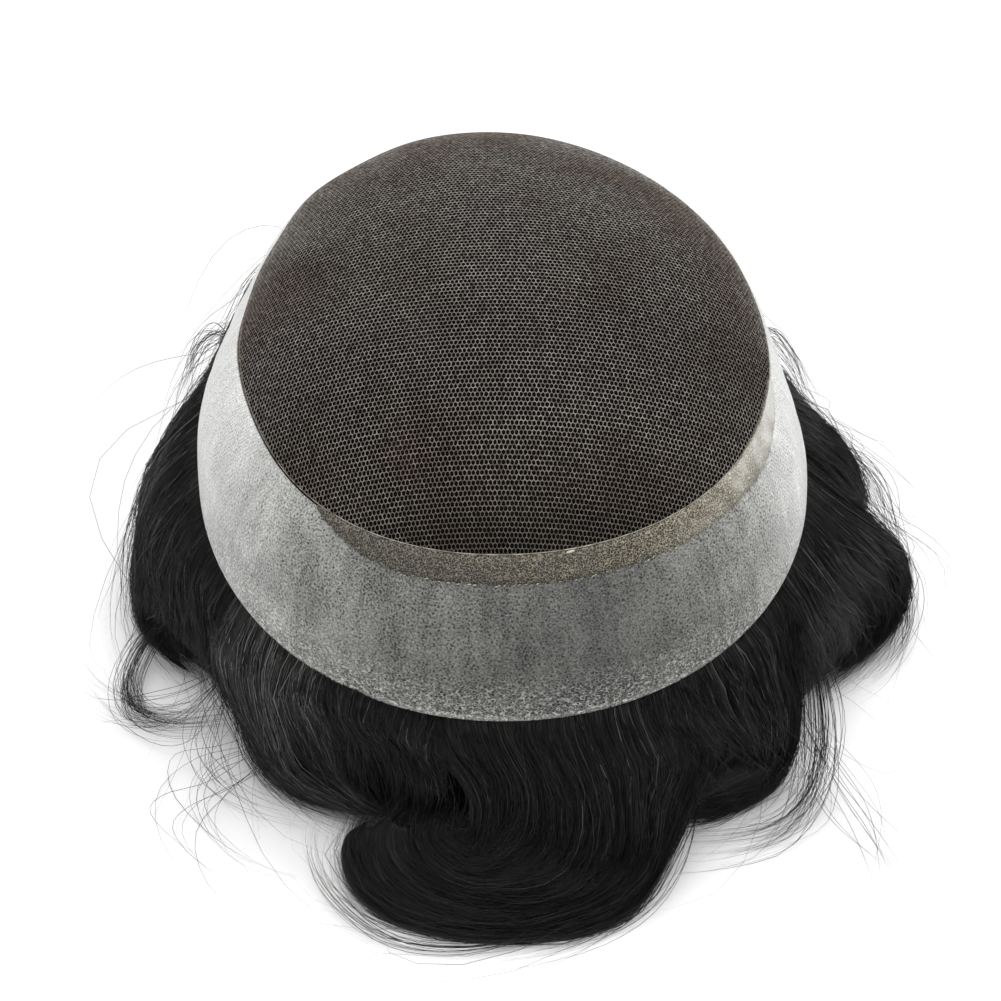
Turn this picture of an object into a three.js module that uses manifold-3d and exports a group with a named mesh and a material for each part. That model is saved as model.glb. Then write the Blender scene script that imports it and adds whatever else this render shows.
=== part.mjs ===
// A toupee turned inside out. The net dome faces up, a film band runs round its edge,
// and the piece stands on its own hair. Millimetres, +Z up, the nape faces -Y.
// The origin is on the floor under the middle of the whole piece.
import * as THREE from 'three';
import { mergeVertices } from 'three/addons/utils/BufferGeometryUtils.js';
import Module from 'manifold-3d';

const wasm = await Module();
wasm.setup();

// Base, over its outer surface
const capWidth = 152;       // across the sides, at the rim
const napeDepth = 78.5;     // crown to nape, on plan
const browDepth = 101;      // crown to front hairline, on plan
const capHeight = 63;       // rim level to crown
const rimHeight = 44;       // floor to the rim at the nape
const browRise = 8.5;       // how much higher the rim lies at the front hairline
const seamHeight = 39.5;    // rim level to the net's edge, at the sides
const seamTilt = 1.6;       // how much higher that edge lies at the nape, and lower in front

// Walls and clearances
const netWall = 1;
const filmWall = 1;
const lapWall = 1.2;
const gap = 0.3;            // between pieces that touch

// Lap of net on the film
const lapWidth = 7.2;
const lapFrom = -135;       // degrees round the dome, where the lap starts
const lapTo = -15;
const lapTaper = 14;        // degrees over which each end narrows
const lapEnd = 0.2;         // width left at the ends, as a share

// Hair
const hairLayer = 10;       // thickness of the hair under the net
const wallFlare = 3;        // how far the hair wall leans out from rim to floor
const layerSplit = 26;      // rim level to the joint between crown hair and rim hair
const reach = 30;           // how far the longest locks lie beyond the rim
const lockWidth = 30;
const lockThick = 19;
const belly = 0.62;         // share of a lock's way where it lies furthest out
const landing = 0.88;       // share of its way where it comes down on the floor
const floorSink = 0.8;      // height of its middle line there, as a share of half its thickness

// Form of the dome, as exponents of a rounded profile
const planSquareness = 2.06;
const outFullness = 1.03;
const upFullness = 0.817;
const sideFullness = -0.094;

// Facets
const stepsRound = 48;
const lockSides = 8;
const lockStations = 8;

// Soft dents in the dome. around: degrees, down: 0 crown to 1 rim level,
// sink: share of the dome's height, wide: degrees, tall: share of the way down
const dents = [
  { around: 62, down: 0.45, sink: 0.03, wide: 24, tall: 0.22 },
  { around: 10, down: 0.5, sink: -0.008, wide: 22, tall: 0.22 },
  { around: 10, down: 0.83, sink: 0.062, wide: 26, tall: 0.15 },
  { around: 147, down: 0.79, sink: 0.055, wide: 18, tall: 0.17 },
  { around: 112, down: 0.52, sink: 0.014, wide: 9, tall: 0.3 },
  { around: 134, down: 0.55, sink: 0.016, wide: 9, tall: 0.3 },
  { around: 158, down: 0.55, sink: 0.012, wide: 10, tall: 0.3 },
];

// Locks, round the rim from the front right. root: degrees where it leaves the rim,
// swing: degrees that it bows on its way, drift: degrees from root to tip,
// out: share of reach, top: share of rim height, fall: how early it drops,
// wide and thick: shares of a lock's size, tuck: share of its reach that the tip turns back
const locks = [
  // right side, two lobes
  { root: 33, swing: 2, drift: -5, out: 0.36, top: 0.96, fall: 1, wide: 1.1, thick: 0.9, tuck: 0.35 },
  { root: 22, swing: 3, drift: -2, out: 0.44, top: 0.96, fall: 1, wide: 1.05, thick: 1, tuck: 0.4 },
  { root: 11, swing: 0, drift: -4, out: 0.72, top: 0.95, fall: 1, wide: 1.05, thick: 1, tuck: 0.35 },
  { root: 0, swing: -2, drift: 1, out: 0.84, top: 0.95, fall: 1.1, wide: 1.1, thick: 1.1, tuck: 0.35 },
  { root: -10, swing: 3, drift: -3, out: 0.98, top: 0.95, fall: 1.1, wide: 1, thick: 1.1, tuck: 0.3 },
  { root: -20, swing: 3, drift: -4, out: 0.8, top: 0.95, fall: 1.2, wide: 1.05, thick: 1, tuck: 0.3 },
  { root: -31, swing: 3, drift: -4, out: 0.5, top: 0.95, fall: 1.2, wide: 1.1, thick: 0.9, tuck: 0.2 },
  // nape, right of the wave
  { root: -42, swing: 4, drift: -8, out: 0.46, top: 0.95, fall: 1.2, wide: 1.1, thick: 0.9, tuck: 0.2 },
  { root: -53, swing: 5, drift: -10, out: 0.58, top: 0.95, fall: 1.3, wide: 1.15, thick: 1, tuck: 0.2 },
  // nape, the big wave that sweeps to the left and curls
  { root: -64, swing: 9, drift: -48, out: 0.96, top: 0.95, fall: 1.5, wide: 1.15, thick: 1, tuck: 0.3 },
  { root: -74, swing: 8, drift: -38, out: 1.07, top: 0.95, fall: 1.5, wide: 1.2, thick: 1, tuck: 0.3 },
  { root: -84, swing: 7, drift: -30, out: 1.17, top: 0.95, fall: 1.5, wide: 1.2, thick: 1, tuck: 0.25 },
  { root: -95, swing: 6, drift: -22, out: 1.08, top: 0.95, fall: 1.4, wide: 1.15, thick: 1, tuck: 0.2 },
  { root: -106, swing: 4, drift: -12, out: 0.94, top: 0.95, fall: 1.3, wide: 1.1, thick: 0.95, tuck: 0.2 },
  // nape, left
  { root: -118, swing: 5, drift: -8, out: 0.3, top: 0.95, fall: 1.2, wide: 1.15, thick: 0.85, tuck: 0.1 },
  { root: -129, swing: 4, drift: -8, out: 0.36, top: 0.95, fall: 1.2, wide: 1.15, thick: 0.9, tuck: 0.15 },
  { root: -141, swing: 3, drift: -6, out: 0.3, top: 0.95, fall: 1.2, wide: 1.15, thick: 0.85, tuck: 0.15 },
  { root: -152, swing: 3, drift: -8, out: 0.32, top: 0.95, fall: 1.1, wide: 1.1, thick: 0.9, tuck: 0.15 },
  // left side
  { root: -163, swing: 3, drift: -4, out: 0.5, top: 0.95, fall: 1.1, wide: 1.1, thick: 0.95, tuck: 0.2 },
  { root: -174, swing: 4, drift: 0, out: 0.7, top: 0.96, fall: 1, wide: 1.1, thick: 1, tuck: 0.3 },
  { root: -185, swing: 4, drift: 4, out: 0.68, top: 0.96, fall: 1, wide: 1.15, thick: 1.05, tuck: 0.35 },
  { root: -197, swing: 3, drift: 6, out: 0.58, top: 0.96, fall: 1, wide: 1.15, thick: 1, tuck: 0.35 },
  { root: -210, swing: 3, drift: 6, out: 0.42, top: 0.92, fall: 1, wide: 1.15, thick: 0.9, tuck: 0.25 },
  // front hairline, away from the nape
  { root: -225, swing: -3, drift: 6, out: 0.44, top: 0.84, fall: 1.1, wide: 1.25, thick: 0.9, tuck: 0.2 },
  { root: -240, swing: 4, drift: -6, out: 0.62, top: 0.84, fall: 1.2, wide: 1.3, thick: 0.95, tuck: 0.25 },
  { root: -255, swing: -4, drift: 8, out: 0.74, top: 0.84, fall: 1.2, wide: 1.35, thick: 1, tuck: 0.25 },
  { root: -270, swing: 5, drift: 6, out: 0.8, top: 0.84, fall: 1.2, wide: 1.4, thick: 1, tuck: 0.3 },
  { root: -285, swing: 4, drift: -8, out: 0.76, top: 0.84, fall: 1.2, wide: 1.35, thick: 1, tuck: 0.25 },
  { root: -300, swing: -4, drift: 6, out: 0.66, top: 0.86, fall: 1.2, wide: 1.3, thick: 0.95, tuck: 0.25 },
  { root: -315, swing: 3, drift: -6, out: 0.5, top: 0.9, fall: 1.1, wide: 1.25, thick: 0.9, tuck: 0.2 },
];

const radians = THREE.MathUtils.degToRad;
const crownAt = new THREE.Vector3(0, (napeDepth - browDepth) / 2, rimHeight);

// Plan radius of the rim-level outline
function planRadius(around) {
  const across = Math.abs(Math.cos(around)) / (capWidth / 2);
  const depth = Math.sin(around) < 0 ? napeDepth : browDepth;
  const along = Math.abs(Math.sin(around)) / depth;
  return (across ** planSquareness + along ** planSquareness) ** (-1 / planSquareness);
}

// Dome without its dents
function plainPoint(around, down) {
  const turn = Math.max(down, 0) * Math.PI / 2;
  const out = planRadius(around) * Math.sin(turn) ** outFullness;
  const fullness = upFullness + sideFullness * Math.cos(around) ** 2;
  const up = capHeight * Math.max(Math.cos(turn), 0) ** fullness;
  return new THREE.Vector3(out * Math.cos(around), out * Math.sin(around), up);
}

function dentDepth(around, down) {
  let depth = 0;
  for (const dent of dents) {
    const turned = around - radians(dent.around);
    const sideways = Math.atan2(Math.sin(turned), Math.cos(turned)) / radians(dent.wide);
    const lengthways = (down - dent.down) / dent.tall;
    depth += dent.sink * capHeight * Math.exp(-(sideways ** 2) - lengthways ** 2);
  }
  return depth * Math.min(1, down * 4);
}

// Point of the dome, moved in from its outer surface by inset
function capPoint(around, down, inset = 0) {
  const here = plainPoint(around, down);
  if (down < 0.001) return here.add(crownAt).add(new THREE.Vector3(0, 0, -inset));
  const step = 0.002;
  const alongStep = plainPoint(around, Math.min(down + step, 1)).sub(plainPoint(around, down - step));
  const roundStep = plainPoint(around + step, down).sub(plainPoint(around - step, down));
  const normal = roundStep.cross(alongStep).normalize().negate();
  return here.addScaledVector(normal, -inset - dentDepth(around, down)).add(crownAt);
}

// How far down the dome a height above rim level lies
function downAt(around, height) {
  const fullness = upFullness + sideFullness * Math.cos(around) ** 2;
  return Math.acos((height / capHeight) ** (1 / fullness)) / (Math.PI / 2);
}

function rimDown(around) {
  const rise = browRise * (1 + Math.sin(around)) / 2;
  return downAt(around, rise);
}

function seamDown(around) {
  return downAt(around, seamHeight - seamTilt * Math.sin(around));
}

function splitDown(around) {
  return downAt(around, layerSplit);
}

// Share of the way down that a length along the dome takes
function lengthDown(around, down, length) {
  const step = 0.01;
  return length * step / plainPoint(around, down).distanceTo(plainPoint(around, down + step));
}

// Width of the lap at an azimuth, 0 away from it
function lapAt(around) {
  const fromEnd = Math.min(around - radians(lapFrom), radians(lapTo) - around) / radians(lapTaper);
  if (fromEnd < -1e-6) return 0;
  return lapWidth * (lapEnd + (1 - lapEnd) * Math.min(1, fromEnd));
}

// Closed body through rings of as many points each. Its ends are filled from
// the two poles, or joined to each other where it has none.
function bodyThrough(rings, poles) {
  const count = rings[0].length;
  const points = rings.flat();
  const faces = [];
  const last = poles ? rings.length - 1 : rings.length;
  for (let ring = 0; ring < last; ring += 1) {
    const next = (ring + 1) % rings.length;
    for (let side = 0; side < count; side += 1) {
      const beside = (side + 1) % count;
      const [a, b] = [ring * count + side, ring * count + beside];
      const [c, d] = [next * count + side, next * count + beside];
      faces.push(a, b, c, b, d, c);
    }
  }
  if (poles) {
    points.push(...poles);
    const start = (rings.length - 1) * count;
    for (let side = 0; side < count; side += 1) {
      const beside = (side + 1) % count;
      faces.push(points.length - 2, beside, side);
      faces.push(points.length - 1, start + side, start + beside);
    }
  }
  return turnedOut(points, faces);
}

// Geometry whose faces point out, whichever way its rings ran
function turnedOut(points, faces) {
  let volume = 0;
  for (let at = 0; at < faces.length; at += 3) {
    const [a, b, c] = [points[faces[at]], points[faces[at + 1]], points[faces[at + 2]]];
    volume += a.dot(new THREE.Vector3().crossVectors(b, c));
  }
  if (volume < 0) faces.reverse();
  const geometry = new THREE.BufferGeometry().setFromPoints(points);
  geometry.setIndex(faces);
  return geometry;
}

function middle(ring) {
  const sum = ring.reduce((total, point) => total.add(point), new THREE.Vector3());
  return sum.divideScalar(ring.length);
}

function azimuths(steps) {
  return Array.from({ length: steps }, (_, step) => -Math.PI + step * 2 * Math.PI / steps);
}

function between(from, to, steps) {
  return Array.from({ length: steps + 1 }, (_, step) => from + (to - from) * step / steps);
}

// Dome-shaped shell from the crown to the line that lowerDown gives
function domeShell(outerInset, innerInset, lowerDown, rows) {
  const ringAt = (share, inset) => azimuths(stepsRound)
    .map((around) => capPoint(around, lowerDown(around) * share, inset));
  const shares = between(0, 1, rows).slice(1);
  const rings = shares.map((share) => ringAt(share, outerInset))
    .concat(shares.reverse().map((share) => ringAt(share, innerInset)));
  return bodyThrough(rings, [capPoint(0, 0, outerInset), capPoint(0, 0, innerInset)]);
}

// Cross section of a wall of the dome between two lines
function wallSection(around, fromDown, toDown, outerInset, innerInset, rows) {
  const downs = between(fromDown, toDown, rows);
  const outer = downs.map((down) => capPoint(around, down, outerInset));
  const inner = downs.reverse().map((down) => capPoint(around, down, innerInset));
  return outer.concat(inner);
}

function makeLaceCap() {
  const edge = (around) => {
    const seam = seamDown(around);
    return seam - lengthDown(around, seam, gap / 2);
  };
  return domeShell(0, netWall, edge, 7);
}

function makeLapStrip() {
  const rings = azimuths(stepsRound).filter((around) => lapAt(around) > 0).map((around) => {
    const seam = seamDown(around);
    const upper = seam + lengthDown(around, seam, gap / 2);
    const lower = seam + lengthDown(around, seam, lapAt(around) - gap / 2);
    return wallSection(around, upper, lower, 0, lapWall, 1);
  });
  return bodyThrough(rings, [middle(rings[0]), middle(rings.at(-1))]);
}

function makeSkinBand() {
  const rings = azimuths(stepsRound).map((around) => {
    const seam = seamDown(around);
    const upper = seam + lengthDown(around, seam, lapAt(around) + gap / 2);
    return wallSection(around, upper, rimDown(around), 0, filmWall, 3);
  });
  return bodyThrough(rings);
}

const hairTop = Math.max(netWall, filmWall, lapWall) + gap;

function makeCrownHair() {
  const edge = (around) => splitDown(around) - lengthDown(around, splitDown(around), gap / 2);
  return domeShell(hairTop, hairTop + hairLayer, edge, 6);
}

// Point on the floor under the rim, leaning out by the flare
function footPoint(around, inset) {
  const foot = capPoint(around, rimDown(around), inset);
  const outward = new THREE.Vector3(Math.cos(around), Math.sin(around), 0);
  foot.addScaledVector(outward, wallFlare);
  foot.z = 0;
  return foot;
}

function makeHairWall() {
  const rings = azimuths(stepsRound).map((around) => {
    const upper = splitDown(around) + lengthDown(around, splitDown(around), gap / 2);
    const section = wallSection(around, upper, rimDown(around), hairTop, hairTop + hairLayer, 2);
    const half = section.length / 2;
    const feet = [footPoint(around, hairTop), footPoint(around, hairTop + hairLayer)];
    return [...section.slice(0, half), ...feet, ...section.slice(half)];
  });
  return bodyThrough(rings);
}

// Half of a lock's thickness, fullest a third of the way along and thin at the tip
function halfThick(lock, along) {
  return lock.thick * lockThick / 2 * (0.35 + 0.65 * Math.sin(Math.PI * (0.2 + 0.75 * along)));
}

function halfWide(lock, along) {
  return lock.wide * lockWidth / 2 * (0.3 + 0.7 * Math.sin(Math.PI * (0.25 + 0.7 * along)));
}

// Middle line of a lock. It leaves the hair wall under the rim, bows out and down to its
// belly, reaches the floor and turns back in at the tip.
function lockPath(lock, along) {
  const bow = Math.sin(Math.min(along / belly, 1) * Math.PI / 2);
  const turned = Math.max(0, (along - belly) / (1 - belly));
  const around = radians(lock.root + lock.swing * Math.sin(along * Math.PI) ** 2 + lock.drift * along ** 2);
  const rim = capPoint(around, rimDown(around));
  const beyond = (hairLayer / 2 + lock.out * reach - halfThick(lock, belly)) * bow - hairLayer / 2;
  const out = Math.hypot(rim.x, rim.y - crownAt.y) + beyond - lock.tuck * lock.out * reach * turned ** 2;
  const start = rim.z * lock.top - halfThick(lock, 0);
  const low = halfThick(lock, along) * floorSink;
  const drop = Math.cos(Math.min(along / landing, 1) * Math.PI / 2) ** lock.fall;
  const height = low + (start - low) * drop;
  return new THREE.Vector3(out * Math.cos(around), crownAt.y + out * Math.sin(around), height);
}

function makeLock(lock) {
  const rings = between(0, 1, lockStations).map((along) => {
    const here = lockPath(lock, along);
    const ahead = lockPath(lock, Math.min(along + 0.02, 1)).sub(lockPath(lock, along - 0.02)).normalize();
    const outward = new THREE.Vector3(here.x, here.y - crownAt.y, 0).normalize();
    const broad = new THREE.Vector3(-outward.y, outward.x, 0);
    broad.addScaledVector(ahead, -broad.dot(ahead)).normalize();
    const thick = new THREE.Vector3().crossVectors(ahead, broad);
    return between(0, 2 * Math.PI, lockSides).slice(1).map((turn) => here.clone()
      .addScaledVector(broad, halfWide(lock, along) * Math.cos(turn))
      .addScaledVector(thick, halfThick(lock, along) * Math.sin(turn)));
  });
  return bodyThrough(rings, [middle(rings[0]), middle(rings.at(-1))]);
}

function asSolid(geometry) {
  const bare = geometry.clone();
  bare.deleteAttribute('normal');
  bare.deleteAttribute('uv');
  const merged = mergeVertices(bare, 1e-4);
  return new wasm.Manifold(new wasm.Mesh({
    numProp: 3,
    vertProperties: new Float32Array(merged.attributes.position.array),
    triVerts: new Uint32Array(merged.index.array),
  }));
}

function asGeometry(solid) {
  const mesh = solid.getMesh();
  const geometry = new THREE.BufferGeometry();
  geometry.setAttribute('position', new THREE.BufferAttribute(mesh.vertProperties, 3));
  geometry.setIndex(new THREE.BufferAttribute(mesh.triVerts, 1));
  return geometry;
}

// Everything under the floor, to trim the hair flat where it stands
function belowFloor() {
  const size = 4 * (capWidth + reach);
  const slab = new THREE.BoxGeometry(size, size, size);
  slab.translate(0, 0, -size / 2);
  return asSolid(slab);
}

function makeRimHair() {
  let hair = asSolid(makeHairWall());
  for (const lock of locks) {
    hair = hair.add(asSolid(makeLock(lock)));
  }
  return asGeometry(hair.subtract(belowFloor()));
}

const net = new THREE.MeshStandardMaterial({ color: 0x5b534b, roughness: 0.85, metalness: 0 });
const lap = new THREE.MeshStandardMaterial({ color: 0x6f6552, roughness: 0.8, metalness: 0 });
const film = new THREE.MeshStandardMaterial({ color: 0xb9b9b2, roughness: 0.45, metalness: 0 });
const hair = new THREE.MeshStandardMaterial({ color: 0x141214, roughness: 0.5, metalness: 0 });

function named(name, geometry, material) {
  const mesh = new THREE.Mesh(geometry, material);
  mesh.name = name;
  return mesh;
}

const toupee = new THREE.Group();
toupee.add(
  named('lace_cap', makeLaceCap(), net),
  named('lap_strip', makeLapStrip(), lap),
  named('skin_band', makeSkinBand(), film),
  named('crown_hair', makeCrownHair(), hair),
  named('rim_hair', makeRimHair(), hair),
);

// The origin goes under the middle of the whole piece
const middleOfAll = new THREE.Box3().setFromObject(toupee).getCenter(new THREE.Vector3());
toupee.position.set(-middleOfAll.x, -middleOfAll.y, 0);

export default toupee;
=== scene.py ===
import bpy
import math
import numpy as np
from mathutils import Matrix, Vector


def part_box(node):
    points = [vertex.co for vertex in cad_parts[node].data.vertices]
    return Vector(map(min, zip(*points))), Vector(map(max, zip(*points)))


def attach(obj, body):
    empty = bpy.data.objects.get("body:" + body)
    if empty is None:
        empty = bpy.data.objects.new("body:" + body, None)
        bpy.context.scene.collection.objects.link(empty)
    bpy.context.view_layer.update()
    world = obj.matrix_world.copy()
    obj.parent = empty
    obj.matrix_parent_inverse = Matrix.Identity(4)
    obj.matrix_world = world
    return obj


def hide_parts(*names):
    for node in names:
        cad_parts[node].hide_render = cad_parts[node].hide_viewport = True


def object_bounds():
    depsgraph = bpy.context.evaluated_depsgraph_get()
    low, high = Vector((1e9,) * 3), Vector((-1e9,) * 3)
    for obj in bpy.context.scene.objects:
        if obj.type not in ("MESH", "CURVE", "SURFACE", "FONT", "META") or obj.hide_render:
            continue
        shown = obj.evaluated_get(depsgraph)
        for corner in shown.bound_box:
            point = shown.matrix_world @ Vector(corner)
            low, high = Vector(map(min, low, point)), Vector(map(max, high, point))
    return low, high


# A toupee turned inside out: net dome, lap strip, film band, and the hair that it stands on.
# Metres, +Z up, the nape faces -Y. "around" is an azimuth, "down" runs 0 at the crown to 1 at rim level.

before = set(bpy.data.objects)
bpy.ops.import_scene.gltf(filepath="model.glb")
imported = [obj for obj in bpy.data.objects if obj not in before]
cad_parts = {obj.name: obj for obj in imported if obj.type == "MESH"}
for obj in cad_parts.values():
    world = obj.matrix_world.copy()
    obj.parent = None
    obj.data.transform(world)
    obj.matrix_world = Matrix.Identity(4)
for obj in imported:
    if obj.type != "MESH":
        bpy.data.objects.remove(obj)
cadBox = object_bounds()
print("frame loaded:", sorted(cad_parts))

dome = {
    "width": 0.152, "nape": 0.0785, "brow": 0.101, "height": 0.063,
    "rim": 0.044, "browRise": 0.0085, "seam": 0.0395, "seamTilt": 0.0016,
    "planPower": 2.06, "outPower": 1.03, "upPower": 0.817, "sidePower": -0.094,
}
dents = [  # around (degrees), down, sink (share of the height), wide (degrees), tall
    (62, 0.45, 0.03, 24, 0.22),
    (10, 0.5, -0.008, 22, 0.22),
    (10, 0.83, 0.062, 26, 0.15),
    (147, 0.79, 0.055, 18, 0.17),
    (112, 0.52, 0.014, 9, 0.3),
    (134, 0.55, 0.016, 9, 0.3),
    (158, 0.55, 0.012, 10, 0.3),
]
seamRises = [(192, 0.0021, 24), (-12, 0.0008, 22), (133, -0.0019, 24)]  # around, height, wide (degrees)
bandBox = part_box("skin_band")
crown = np.array([(bandBox[0].x + bandBox[1].x) / 2, bandBox[0].y + dome["nape"], dome["rim"]])


# Plan radius: the rounded profile (|cos|/a)^n + (|sin|/b)^n = 1, with b longer towards the brow.
def planRadius(around):
    depth = np.where(np.sin(around) < 0, dome["nape"], dome["brow"])
    n = dome["planPower"]
    across = np.abs(np.cos(around)) / (dome["width"] / 2)
    along = np.abs(np.sin(around)) / depth
    return (across ** n + along ** n) ** (-1 / n)


# Power of the dome's height: it changes from the ends to the sides with cos squared.
def upPower(around):
    return dome["upPower"] + dome["sidePower"] * np.cos(around) ** 2


# Dome point before its dents: plan radius times a power of sine, height times a power of cosine.
def plainPoint(around, down):
    turn = np.clip(down, 0, 1) * math.pi / 2
    out = planRadius(around) * np.sin(turn) ** dome["outPower"]
    up = dome["height"] * np.maximum(np.cos(turn), 0) ** upPower(around)
    return np.stack([out * np.cos(around), out * np.sin(around), up], -1)


# Angle from an azimuth in degrees, between -pi and pi.
def turnFrom(around, degrees):
    return np.angle(np.exp(1j * (around - math.radians(degrees))))


# Dent depth: a sum of bell shapes, each fading in azimuth and in the way down.
def dentDepth(around, down):
    depth = np.zeros(np.broadcast(around, down).shape)
    for at, level, sink, wide, tall in dents:
        turned = turnFrom(around, at) / math.radians(wide)
        depth += sink * dome["height"] * np.exp(-turned ** 2 - ((down - level) / tall) ** 2)
    return depth * np.minimum(1, down * 4)


# Vectors divided by their own lengths.
def unit(v):
    return v / np.maximum(np.linalg.norm(v, axis=-1, keepdims=True), 1e-12)


# Outward normal: cross product of the dome's two directions, off the crown itself.
def domeNormal(around, down):
    step = 0.002
    down = np.maximum(down, 2 * step)
    along = plainPoint(around, np.minimum(down + step, 1)) - plainPoint(around, down - step)
    sideways = plainPoint(around + step, down) - plainPoint(around - step, down)
    return unit(np.cross(along, sideways))


# Point of the dome, moved in from its surface by inset along the normal.
def domePoint(around, down, inset=0.0):
    shift = (-np.asarray(inset) - dentDepth(around, down))[..., None]
    return plainPoint(around, down) + domeNormal(around, down) * shift + crown


# Way down at which the plain dome has a height: its height formula turned round.
def downAt(around, height):
    return np.arccos((height / dome["height"]) ** (1 / upPower(around))) / (math.pi / 2)


# Way down of the rim, which rises in a sine from the nape to the brow.
def rimDown(around):
    return downAt(around, dome["browRise"] * (1 + np.sin(around)) / 2)


# The seam's height tilts a little towards the nape and swings in bell shapes at the sides.
def seamDown(around):
    height = dome["seam"] - dome["seamTilt"] * np.sin(around)
    for at, rise, wide in seamRises:
        height = height + rise * np.exp(-(turnFrom(around, at) / math.radians(wide)) ** 2)
    return downAt(around, height)


# Share of the way down that a length on the dome takes near a point.
def lengthDown(around, down, length):
    step = 0.01
    return length * step / np.linalg.norm(plainPoint(around, down + step) - plainPoint(around, down), axis=-1)


# Mesh from points and faces of one size, all smooth, with an optional map and point value.
def putMesh(name, points, faces, uv=None, values=None, turn=None):
    mesh = bpy.data.meshes.new(name)
    corners = faces.shape[1]
    mesh.vertices.add(len(points))
    mesh.vertices.foreach_set("co", points.astype(np.float32).ravel())
    mesh.loops.add(faces.size)
    mesh.loops.foreach_set("vertex_index", faces.astype(np.int32).ravel())
    mesh.polygons.add(len(faces))
    mesh.polygons.foreach_set("loop_start", np.arange(0, faces.size, corners, dtype=np.int32))
    mesh.polygons.foreach_set("use_smooth", np.ones(len(faces), bool))
    mesh.update(calc_edges=True)
    if uv is not None:
        layer = mesh.uv_layers.new(name="clothMap")
        corner = uv[faces]
        if turn is not None:  # a face that closes the round keeps its map in one stretch
            short = corner[..., 0] < corner[..., 0].max(1, keepdims=True) - turn / 2
            corner[..., 0] += short * turn
        layer.data.foreach_set("uv", corner.astype(np.float32).ravel())
    for key, value in (values or {}).items():
        mesh.attributes.new(key, "FLOAT", "POINT").data.foreach_set("value", value.astype(np.float32))
    piece = bpy.data.objects.new(name, mesh)
    bpy.context.scene.collection.objects.link(piece)
    return piece


# Faces of a grid of rows by columns. Either way round may close on itself.
def gridFaces(rows, columns, closeRows=False, closeColumns=False):
    row = np.arange(rows if closeRows else rows - 1)[:, None]
    column = np.arange(columns if closeColumns else columns - 1)[None, :]
    a = row * columns + column
    b = row * columns + (column + 1) % columns
    c = ((row + 1) % rows) * columns + (column + 1) % columns
    d = ((row + 1) % rows) * columns + column
    return np.stack([a, b, c, d], -1).reshape(-1, 4)


# Faces turned so that the closed shape they make has a positive volume.
def facingOut(points, faces):
    a, b, c = points[faces[:, 0]], points[faces[:, 1]], points[faces[:, 2]]
    volume = np.einsum("ij,ij->", a, np.cross(b, c))
    if faces.shape[1] == 4:
        volume += np.einsum("ij,ij->", a, np.cross(c, points[faces[:, 3]]))
    return faces if volume > 0 else faces[:, ::-1]


# Closed shell between an outer and an inner grid, walled round its open edges.
def shellMesh(name, outer, inner, wrap=False, uv=None, values=None, turn=None):
    rows, columns = outer.shape[:2]
    size = rows * columns
    top = gridFaces(rows, columns, False, wrap)
    k = np.arange(columns if wrap else columns - 1)
    following = (k + 1) % columns
    last = (rows - 1) * columns
    walls = [np.stack([following, k, k + size, following + size], -1),
             np.stack([k + last, following + last, following + last + size, k + last + size], -1)]
    if not wrap:
        k = np.arange(rows - 1) * columns
        end = k + columns - 1
        walls.append(np.stack([k, k + columns, k + columns + size, k + size], -1))
        walls.append(np.stack([end + columns, end, end + size, end + columns + size], -1))
    faces = np.concatenate([top, top[:, ::-1] + size, *walls])
    points = np.concatenate([outer.reshape(-1, 3), inner.reshape(-1, 3)])
    if uv is not None:
        uv = np.concatenate([uv.reshape(-1, 2)] * 2)
    values = {key: np.concatenate([value.ravel()] * 2) for key, value in (values or {}).items()}
    return putMesh(name, points, facingOut(points, faces), uv, values, turn)


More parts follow.
